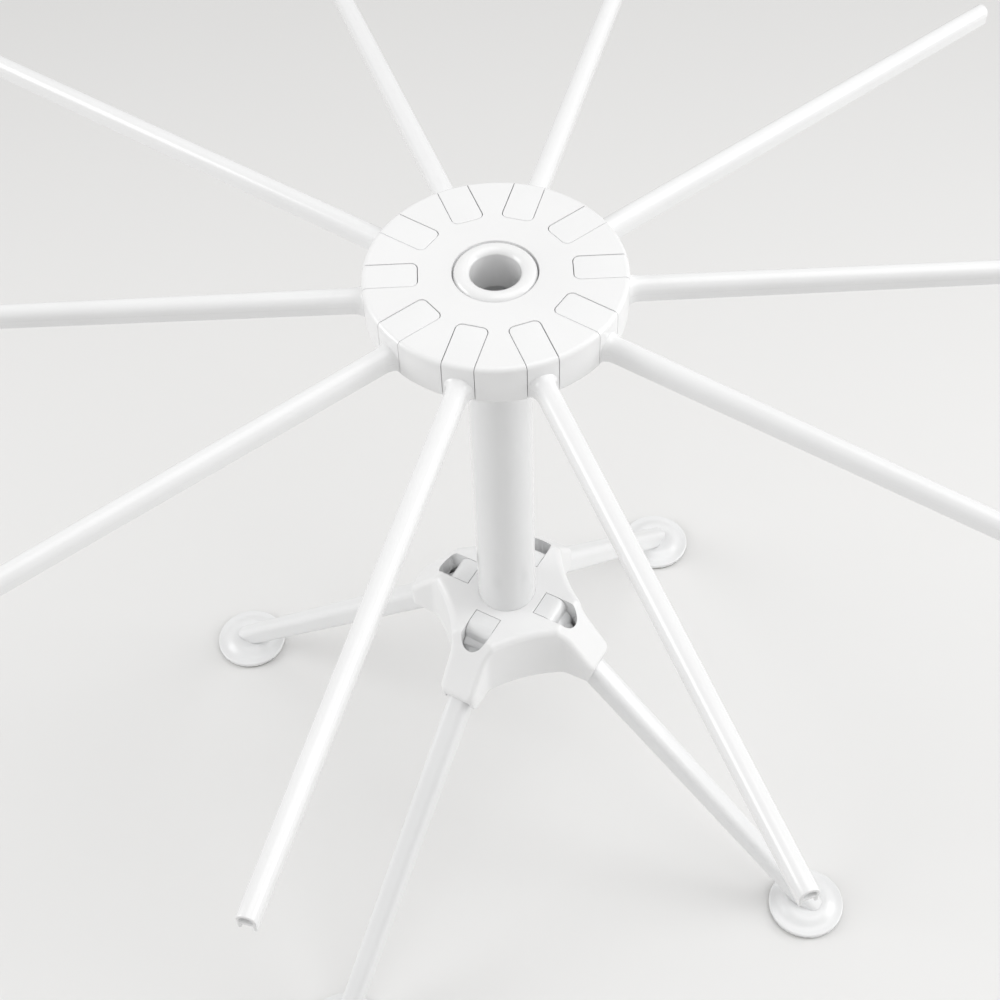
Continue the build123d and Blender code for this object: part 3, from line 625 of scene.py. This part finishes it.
def add_rod(bm, sizes):
    """Adds the shoulder, the tapering rod and its pocketed tip."""
    tip = sizes.reach
    start = HUB_RADIUS + SHOULDER_LENGTH

    def section(along, width, height, rise=0.0, inset=0.0, depth=ARM_CHANNEL_DEPTH, skirt=ARM_SKIRT_STEP):
        outline = arm_outline(width, height, inset, depth, skirt)
        return [Vector((along, point.x, sizes.axis_height + rise + point.y)) for point in outline]

    def rod(along, inset=0.0, depth=ARM_CHANNEL_DEPTH):
        share = (along - start) / (tip - start)
        width = sizes.root_width + (sizes.tip_width - sizes.root_width) * share
        height = sizes.root_height + (sizes.tip_height - sizes.root_height) * share
        return section(along, width, height, 0.0, inset, depth)

    # shoulder that runs out of the block in a hollow curve
    loops = []
    for along, width, height, rise, skirt in SHOULDER:
        loops.append(section(HUB_RADIUS + along * MM, width * MM, height * MM, rise * MM, 0.0,
                             ARM_CHANNEL_START, skirt * MM))
    # rod, its channel running out in a short ramp
    loops.append(rod(start, 0.0, ARM_CHANNEL_START))
    for step in range(1, ARM_RAMP_STEPS + 1):
        turn = QUARTER * step / ARM_RAMP_STEPS
        loops.append(rod(start + ARM_CHANNEL_RAMP * (1 - math.cos(turn)), 0.0,
                         ARM_CHANNEL_START + (ARM_CHANNEL_DEPTH - ARM_CHANNEL_START) * math.sin(turn)))
    plain = tip - TIP_ROUND - start - ARM_CHANNEL_RAMP
    for step in range(1, ARM_ROD_STEPS + 1):
        loops.append(rod(start + ARM_CHANNEL_RAMP + plain * step / ARM_ROD_STEPS))
    for step in range(1, TIP_STEPS + 1):
        turn = QUARTER * step / TIP_STEPS
        loops.append(rod(tip - TIP_ROUND * (1 - math.sin(turn)), TIP_ROUND * (1 - math.cos(turn))))
    rings = loft(bm, loops, closed_start=True)
    # tip: a wall with a pocket over the web
    half = sizes.tip_width / 2 - TIP_WALL
    centre = sizes.tip_height / 2 - sizes.tip_width / 2
    floor = ARM_CHANNEL_DEPTH + ARM_WEB - sizes.tip_height / 2
    loops = []
    for depth, spread in POCKET:
        along, reach, low = tip - depth * MM, half + spread * MM, floor - spread * MM
        outline = rounded_outline(
            [(-reach, low, POCKET_CORNER)] + arch(reach, centre, POCKET_STEPS) + [(reach, low, POCKET_CORNER)])
        loops.append([Vector((along, point.x, sizes.axis_height + point.y)) for point in outline])
    mouth = loft(bm, loops, closed_end=True)[0]
    fill_between(bm, rings[-1], mouth)


def block_plan(sizes, height):
    """Plan of the hinge block at one height, drawn in near the top by its edge rounding."""
    over = max(height - (sizes.hub_top - RIM_ROUND), 0.0)
    rim = RIM_ROUND - math.sqrt(max(RIM_ROUND**2 - over**2, 0.0))
    over = max(height - (sizes.hub_top - BLOCK_EDGE), 0.0)
    side = BLOCK_EDGE - math.sqrt(max(BLOCK_EDGE**2 - over**2, 0.0))
    half = sizes.block_width / 2 - side
    reach = HUB_RADIUS - rim
    start = math.asin(half / reach)
    points = []
    for step in range(BLOCK_FACE_STEPS + 1):
        angle = -start + 2 * start * step / BLOCK_FACE_STEPS
        points.append(Vector((reach * math.cos(angle), reach * math.sin(angle), height)))
    # the heel swings about the hinge below the arm's middle
    heel = HINGE_RADIUS - BLOCK_INNER
    drop = max(sizes.axis_height - height, 0.0)
    radius = BLOCK_CORNER - side
    across = HINGE_RADIUS - math.sqrt(heel**2 - drop**2) + side + radius
    for along, first in ((half - radius, QUARTER), (-(half - radius), math.pi)):
        for step in range(BLOCK_CORNER_STEPS + 1):
            angle = first + QUARTER * step / BLOCK_CORNER_STEPS
            points.append(Vector((across + radius * math.cos(angle), along + radius * math.sin(angle), height)))
    return points


def add_block(bm, sizes):
    """Adds the hinge block that fills the hub's slot, with the hollow below it."""
    rim = sizes.hub_top - RIM_ROUND
    low = sizes.axis_height - BLOCK_BOTTOM
    levels = [BLOCK_BOTTOM + low * step / BLOCK_LOW_STEPS for step in range(BLOCK_LOW_STEPS + 1)] + [rim]
    levels += [rim + RIM_ROUND * math.sin(QUARTER * step / BLOCK_RIM_STEPS)
               for step in range(1, BLOCK_RIM_STEPS + 1)]
    levels += [sizes.hub_top - BLOCK_EDGE * (1 - math.sin(QUARTER * step / BLOCK_EDGE_STEPS))
               for step in range(BLOCK_EDGE_STEPS)]
    rings = loft(bm, [block_plan(sizes, height) for height in sorted(levels)], closed_end=True)
    outline = rounded_outline([(x * MM, y * MM, radius * MM) for x, y, radius in CORE_CORNERS])
    hollow = [[Vector((point.x, point.y, height)) for point in outline] for height in (BLOCK_BOTTOM, CORE_TOP)]
    fill_between(bm, rings[0], loft(bm, hollow, closed_end=True)[0])


def add_pegs(bm, sizes):
    """Adds the two pegs that the arm turns on."""
    turns = [2 * math.pi * step / PEG_STEPS for step in range(PEG_STEPS)]
    for side in (-1, 1):
        loops = []
        for out, radius in PEG:
            along = side * (sizes.block_width / 2 + out * MM)
            loops.append([Vector((HINGE_RADIUS + radius * MM * math.cos(turn), along,
                                  sizes.axis_height + radius * MM * math.sin(turn))) for turn in turns])
        loft(bm, loops, closed_start=True, closed_end=True)


def arm_mesh(sizes):
    """Mesh of one arm along X: shoulder, rod and tip, hinge block and pegs."""
    bm = bmesh.new()
    add_rod(bm, sizes)
    add_block(bm, sizes)
    add_pegs(bm, sizes)
    return finished_mesh(bm, "arm_form")


def new_tree(name, inputs):
    """Geometry node tree with named inputs and one geometry output."""
    tree = bpy.data.node_groups.new(name, "GeometryNodeTree")
    tree.interface.new_socket("Geometry", in_out="INPUT", socket_type="NodeSocketGeometry")
    for socket, kind in inputs:
        tree.interface.new_socket(socket, in_out="INPUT", socket_type=kind)
    tree.interface.new_socket("Geometry", in_out="OUTPUT", socket_type="NodeSocketGeometry")
    return tree, tree.nodes.new("NodeGroupInput"), tree.nodes.new("NodeGroupOutput")


def finish_tree(tree, inner, outer, shape):
    """Ends a tree in plain faces with their material."""
    real = tree.nodes.new("GeometryNodeRealizeInstances")
    paint = tree.nodes.new("GeometryNodeSetMaterial")
    tree.links.new(shape, real.inputs["Geometry"])
    tree.links.new(real.outputs["Geometry"], paint.inputs["Geometry"])
    tree.links.new(inner.outputs["Material"], paint.inputs["Material"])
    tree.links.new(paint.outputs["Geometry"], outer.inputs["Geometry"])


def ring_tree():
    """Tree that turns one copy of a form to its numbered place round the column's axis."""
    tree, inner, outer = new_tree("Place in the ring", [
        ("Form", "NodeSocketObject"), ("First Angle", "NodeSocketFloat"), ("Count", "NodeSocketInt"),
        ("Number", "NodeSocketInt"), ("Material", "NodeSocketMaterial")])
    form = tree.nodes.new("GeometryNodeObjectInfo")
    tree.links.new(inner.outputs["Form"], form.inputs["Object"])
    step = math_node(tree, "DIVIDE", 2 * math.pi, inner.outputs["Count"])
    turn = math_node(tree, "MULTIPLY", step, inner.outputs["Number"])
    turn = math_node(tree, "ADD", turn, inner.outputs["First Angle"])
    angles = tree.nodes.new("ShaderNodeCombineXYZ")
    tree.links.new(turn, angles.inputs["Z"])
    place = tree.nodes.new("GeometryNodeTransform")
    tree.links.new(form.outputs["Geometry"], place.inputs["Geometry"])
    tree.links.new(angles.outputs["Vector"], place.inputs["Rotation"])
    finish_tree(tree, inner, outer, place.outputs["Geometry"])
    return tree


def screw_tree():
    """Tree that makes a ring of countersunk screws with a driver's cross in each head."""
    tree, inner, outer = new_tree("Ring of screws", [
        ("Count", "NodeSocketInt"), ("Reach", "NodeSocketFloat"), ("Height", "NodeSocketFloat"),
        ("First Angle", "NodeSocketFloat"), ("Head Radius", "NodeSocketFloat"),
        ("Head Height", "NodeSocketFloat"), ("Shank Radius", "NodeSocketFloat"), ("Length", "NodeSocketFloat"),
        ("Cross Length", "NodeSocketFloat"), ("Cross Width", "NodeSocketFloat"),
        ("Material", "NodeSocketMaterial")])

    def vector(x=None, y=None, z=None):
        node = tree.nodes.new("ShaderNodeCombineXYZ")
        for name, value in (("X", x), ("Y", y), ("Z", z)):
            if value is not None:
                tree.links.new(value, node.inputs[name])
        return node.outputs["Vector"]

    def moved(shape, shift=None, turn=None, fixed_turn=0.0):
        node = tree.nodes.new("GeometryNodeTransform")
        tree.links.new(shape, node.inputs["Geometry"])
        if shift is not None:
            tree.links.new(shift, node.inputs["Translation"])
        if turn is not None:
            tree.links.new(turn, node.inputs["Rotation"])
        elif fixed_turn:
            node.inputs["Rotation"].default_value = (0.0, 0.0, fixed_turn)
        return node.outputs["Geometry"]

    head = tree.nodes.new("GeometryNodeMeshCone")
    head.inputs["Vertices"].default_value = HEAD_SIDES
    tree.links.new(inner.outputs["Head Radius"], head.inputs["Radius Bottom"])
    tree.links.new(inner.outputs["Shank Radius"], head.inputs["Radius Top"])
    tree.links.new(inner.outputs["Head Height"], head.inputs["Depth"])
    shank = tree.nodes.new("GeometryNodeMeshCylinder")
    shank.inputs["Vertices"].default_value = SHANK_SIDES
    tree.links.new(inner.outputs["Shank Radius"], shank.inputs["Radius"])
    body = math_node(tree, "SUBTRACT", inner.outputs["Length"], inner.outputs["Head Height"])
    tree.links.new(body, shank.inputs["Depth"])
    rise = math_node(tree, "DIVIDE", body, 2.0)
    rise = math_node(tree, "ADD", rise, inner.outputs["Head Height"])
    shank_up = moved(shank.outputs["Mesh"], vector(z=rise))
    cross_depth = math_node(tree, "MULTIPLY", inner.outputs["Cross Width"], 2.0)
    arms = []
    for turn in (0.0, QUARTER):
        bar = tree.nodes.new("GeometryNodeMeshCube")
        tree.links.new(vector(inner.outputs["Cross Length"], inner.outputs["Cross Width"], cross_depth),
                       bar.inputs["Size"])
        arms.append(moved(bar.outputs["Mesh"], fixed_turn=turn))
    cut = tree.nodes.new("GeometryNodeMeshBoolean")
    cut.operation = "DIFFERENCE"
    cut.solver = "EXACT"
    tree.links.new(head.outputs["Mesh"], cut.inputs["Mesh 1"])
    for bar in arms:
        tree.links.new(bar, cut.inputs["Mesh 2"])
    join = tree.nodes.new("GeometryNodeJoinGeometry")
    tree.links.new(cut.outputs["Mesh"], join.inputs["Geometry"])
    tree.links.new(shank_up, join.inputs["Geometry"])
    ring = tree.nodes.new("GeometryNodeMeshCircle")
    tree.links.new(inner.outputs["Count"], ring.inputs["Vertices"])
    tree.links.new(inner.outputs["Reach"], ring.inputs["Radius"])
    placed = moved(ring.outputs["Mesh"], vector(z=inner.outputs["Height"]),
                   vector(z=inner.outputs["First Angle"]))
    spread = tree.nodes.new("GeometryNodeInstanceOnPoints")
    tree.links.new(placed, spread.inputs["Points"])
    tree.links.new(join.outputs["Geometry"], spread.inputs["Instance"])
    number = tree.nodes.new("GeometryNodeInputIndex").outputs["Index"]
    turn = math_node(tree, "MULTIPLY", number, SCREW_TURN)
    tree.links.new(vector(z=turn), spread.inputs["Rotation"])
    finish_tree(tree, inner, outer, spread.outputs["Instances"])
    return tree


def grown(name, tree, values):
    """Runs a tree with its inputs and keeps the result as a plain mesh."""
    carrier = form_object(name + "_source", bpy.data.meshes.new(name + "_source"))
    modifier = carrier.modifiers.new("made", "NODES")
    modifier.node_group = tree
    for item in tree.interface.items_tree:
        if item.item_type == "SOCKET" and item.in_out == "INPUT" and item.name in values:
            modifier[item.identifier] = values[item.name]
    graph = bpy.context.evaluated_depsgraph_get()
    mesh = bpy.data.meshes.new_from_object(carrier.evaluated_get(graph), depsgraph=graph)
    drop_form(carrier)
    if not mesh.polygons:
        raise RuntimeError("nothing was made for " + name)
    mesh.name = name
    mesh.shade_smooth()
    mesh.set_sharp_from_angle(angle=FORM_SHARP)
    piece = bpy.data.objects.new(name, mesh)
    bpy.context.scene.collection.objects.link(piece)
    return piece


# ---------------------------------------------------------------- operators

class RACK_OT_hub(bpy.types.Operator):
    """Finishes the hub's shell and the cover under it"""
    bl_idname = "rack.hub"
    bl_label = "Hub"

    def execute(self, context):
        finish = context.scene.rack_finish
        shell = plastic("Hub plastic", finish.shell_colour, roughness=0.30, ripple_scale=700.0,
                        grain_share=0.25, coat=0.25)
        moulded("hub_shell", shell)
        moulded("hub_cover", cover_plastic("Cover plastic"))
        return {"FINISHED"}


class RACK_OT_arms(bpy.types.Operator):
    """Makes the ten moulded arms with their blocks, channels and tips"""
    bl_idname = "rack.arms"
    bl_label = "Arms"

    def execute(self, context):
        finish = context.scene.rack_finish
        sizes = context.scene.rack_arm
        gloss = plastic("Arm plastic", finish.arm_colour, roughness=0.19, ripple_scale=520.0,
                        grain_share=0.15, coat=0.4, soften=False)
        form = form_object("arm_form", arm_mesh(sizes))
        tree = ring_tree()
        for number, name in enumerate(ARM_NAMES):
            values = {
                "Form": form, "First Angle": sizes.first_angle, "Count": sizes.count,
                "Number": number, "Material": gloss,
            }
            piece = grown("moulded_" + name, tree, values)
            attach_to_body(piece, body_of_node(name))
            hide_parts(name)
        drop_form(form)
        return {"FINISHED"}


class RACK_OT_column(bpy.types.Operator):
    """Finishes the tube and the ring at its mouth"""
    bl_idname = "rack.column"
    bl_label = "Column"

    def execute(self, context):
        finish = context.scene.rack_finish
        tube = plastic("Column plastic", finish.column_colour, roughness=0.16, ripple_scale=420.0,
                       grain_share=0.1, coat=0.5)
        ring = plastic("Cap plastic", finish.shell_colour, roughness=0.19, ripple_scale=520.0,
                       grain_share=0.15, coat=0.4)
        turned("column", COLUMN_CORNERS, tube)
        bend = (CAP_HALF_WIDTH**2 + CAP_RISE**2) / (2 * CAP_RISE)
        reach = math.acos((bend - CAP_RISE) / bend)
        across, up = CAP_CREST
        crown = []
        for step in range(2 * CAP_STEPS + 1):
            turn = QUARTER + reach * (1 - step / CAP_STEPS)
            crown.append((across + bend * math.cos(turn), up - bend + bend * math.sin(turn), 0.0))
        turned("column_cap", (*crown, *CAP_CORNERS), ring)
        return {"FINISHED"}


class RACK_OT_base(bpy.types.Operator):
    """Finishes the base with its four lobes"""
    bl_idname = "rack.base"
    bl_label = "Base"

    def execute(self, context):
        finish = context.scene.rack_finish
        shell = plastic("Base plastic", finish.shell_colour, roughness=0.30, ripple_scale=640.0,
                        grain_share=0.2, coat=0.3)
        moulded("base_shell", shell)
        moulded("base_cover", cover_plastic("Base cover plastic"))
        return {"FINISHED"}


class RACK_OT_legs(bpy.types.Operator):
    """Finishes the legs, their feet and the pads"""
    bl_idname = "rack.legs"
    bl_label = "Legs"

    def execute(self, context):
        finish = context.scene.rack_finish
        gloss = plastic("Leg plastic", finish.leg_colour, roughness=0.29, ripple_scale=560.0,
                        grain_share=0.15, coat=0.35)
        soft = rubber("Pad rubber", finish.pad_colour)
        for name in LEG_NAMES + FOOT_NAMES:
            moulded(name, gloss)
        for name in PAD_NAMES:
            moulded(name, soft)
        return {"FINISHED"}


class RACK_OT_screws(bpy.types.Operator):
    """Makes the countersunk screws of both covers"""
    bl_idname = "rack.screws"
    bl_label = "Screws"

    def execute(self, context):
        plated = steel("Screw steel", context.scene.rack_finish.steel_colour)
        sizes = context.scene.rack_screw
        tree = screw_tree()
        for node, count, reach, height, first in SCREW_RINGS:
            values = {
                "Count": count, "Reach": reach, "Height": height, "First Angle": first, "Material": plated,
                "Head Radius": sizes.head_radius, "Head Height": sizes.head_height,
                "Shank Radius": sizes.shank_radius, "Length": sizes.length,
                "Cross Length": sizes.cross_length, "Cross Width": sizes.cross_width,
            }
            piece = grown("countersunk_" + node, tree, values)
            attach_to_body(piece, body_of_node(node))
            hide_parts(node)
        return {"FINISHED"}


def lay_floor(stage):
    """Lays the plain floor, with a faint change of shade."""
    scene = bpy.context.scene
    mesh = bpy.data.meshes.new("floor")
    reach = FLOOR_REACH
    corners = [(-reach, -reach, 0), (reach, -reach, 0), (reach, reach, 0), (-reach, reach, 0)]
    mesh.from_pydata(corners, [], [(0, 1, 2, 3)])
    floor = bpy.data.objects.new("floor", mesh)
    scene.collection.objects.link(floor)
    material, tree, skin = new_skin("Floor")
    skin.inputs["Roughness"].default_value = 0.9
    skin.inputs["Specular IOR Level"].default_value = 0.05
    place = tree.nodes.new("ShaderNodeTexCoord").outputs["Object"]
    grain = tree.nodes.new("ShaderNodeTexNoise")
    grain.inputs["Scale"].default_value = 3.0
    grain.inputs["Detail"].default_value = 3.0
    tree.links.new(place, grain.inputs["Vector"])
    blend = tree.nodes.new("ShaderNodeMix")
    blend.data_type = "RGBA"
    blend.inputs["A"].default_value = (*(0.985 * part for part in stage.floor_colour), 1.0)
    blend.inputs["B"].default_value = (*stage.floor_colour, 1.0)
    tree.links.new(grain.outputs[0], blend.inputs["Factor"])
    tree.links.new(blend.outputs["Result"], skin.inputs["Base Color"])
    mesh.materials.append(material)


def light_surround(stage):
    """Sets the even light from all round; the camera sees it as bright as the far floor, with no horizon."""
    world = bpy.data.worlds.new("Surround")
    bpy.context.scene.world = world
    world.use_nodes = True
    tree = world.node_tree
    tree.nodes.clear()
    out = tree.nodes.new("ShaderNodeOutputWorld")
    sky = tree.nodes.new("ShaderNodeBackground")
    sky.inputs["Color"].default_value = (1.0, 0.995, 0.985, 1.0)
    rays = tree.nodes.new("ShaderNodeLightPath")
    level = tree.nodes.new("ShaderNodeMix")
    level.inputs["A"].default_value = stage.sky_strength
    level.inputs["B"].default_value = stage.sky_strength * stage.floor_colour[0]
    tree.links.new(rays.outputs["Is Camera Ray"], level.inputs["Factor"])
    tree.links.new(level.outputs["Result"], sky.inputs["Strength"])
    tree.links.new(sky.outputs["Background"], out.inputs["Surface"])


def hang_lamps(stage):
    """Hangs the lamps and turns them to the middle of the rack."""
    for name, place, width, spread, setting in LAMPS:
        data = bpy.data.lights.new(name, "AREA")
        data.shape = "SQUARE"
        data.size = width
        data.spread = math.radians(spread)
        data.energy = getattr(stage, setting)
        lamp = bpy.data.objects.new(name, data)
        bpy.context.scene.collection.objects.link(lamp)
        lamp.location = place
        lamp.rotation_euler = (Vector(LAMP_TARGET) - Vector(place)).to_track_quat("-Z", "Y").to_euler()


def set_camera(stage):
    """Sets the camera at the photograph's place and angle."""
    scene = bpy.context.scene
    data = bpy.data.cameras.new("camera")
    data.sensor_width = 36.0
    data.lens = stage.lens
    data.clip_start = 0.01
    data.clip_end = 50.0
    camera = bpy.data.objects.new("camera", data)
    scene.collection.objects.link(camera)
    yaw, pitch, roll = stage.camera_yaw, stage.camera_pitch, stage.camera_roll
    ahead = Vector((math.sin(yaw) * math.cos(pitch), math.cos(yaw) * math.cos(pitch), -math.sin(pitch)))
    right = Vector((math.cos(yaw), -math.sin(yaw), 0.0))
    up = right.cross(ahead)
    side = right * math.cos(roll) + up * math.sin(roll)
    top = up * math.cos(roll) - right * math.sin(roll)
    turn = Matrix((side, top, -ahead)).transposed().to_4x4()
    camera.matrix_world = Matrix.Translation(stage.camera_place) @ turn
    scene.camera = camera
    scene.view_settings.view_transform = "Standard"


class RACK_OT_stage(bpy.types.Operator):
    """Sets the floor, the soft light and the camera"""
    bl_idname = "rack.stage"
    bl_label = "Stage"

    def execute(self, context):
        stage = context.scene.rack_stage
        lay_floor(stage)
        light_surround(stage)
        hang_lamps(stage)
        set_camera(stage)
        return {"FINISHED"}


class RACK_PT_panel(bpy.types.Panel):
    """Lists the rack's pieces and settings"""
    bl_idname = "RACK_PT_panel"
    bl_label = "Folding rack"
    bl_space_type = "VIEW_3D"
    bl_region_type = "UI"
    bl_category = "Rack"

    def draw(self, context):
        layout = self.layout
        for step in STEPS:
            layout.operator(step)
        scene = context.scene
        for group in (scene.rack_arm, scene.rack_screw, scene.rack_finish, scene.rack_stage):
            box = layout.box()
            for name in group.__annotations__:
                box.prop(group, name)


STEPS = ("rack.hub", "rack.arms", "rack.column", "rack.base", "rack.legs", "rack.screws", "rack.stage")
CLASSES = (
    RackFinish, RackArm, RackScrew, RackStage, RACK_OT_hub, RACK_OT_arms, RACK_OT_column, RACK_OT_base,
    RACK_OT_legs, RACK_OT_screws, RACK_OT_stage, RACK_PT_panel,
)


def register():
    for made in CLASSES:
        bpy.utils.register_class(made)
    bpy.types.Scene.rack_finish = PointerProperty(type=RackFinish)
    bpy.types.Scene.rack_arm = PointerProperty(type=RackArm)
    bpy.types.Scene.rack_screw = PointerProperty(type=RackScrew)
    bpy.types.Scene.rack_stage = PointerProperty(type=RackStage)


def unregister():
    del bpy.types.Scene.rack_stage
    del bpy.types.Scene.rack_screw
    del bpy.types.Scene.rack_arm
    del bpy.types.Scene.rack_finish
    for made in reversed(CLASSES):
        bpy.utils.unregister_class(made)


def main():
    """Runs every step."""
    register()
    for step in STEPS:
        group, name = step.split(".")
        getattr(getattr(bpy.ops, group), name)()


if __name__ == "__main__":
    main()
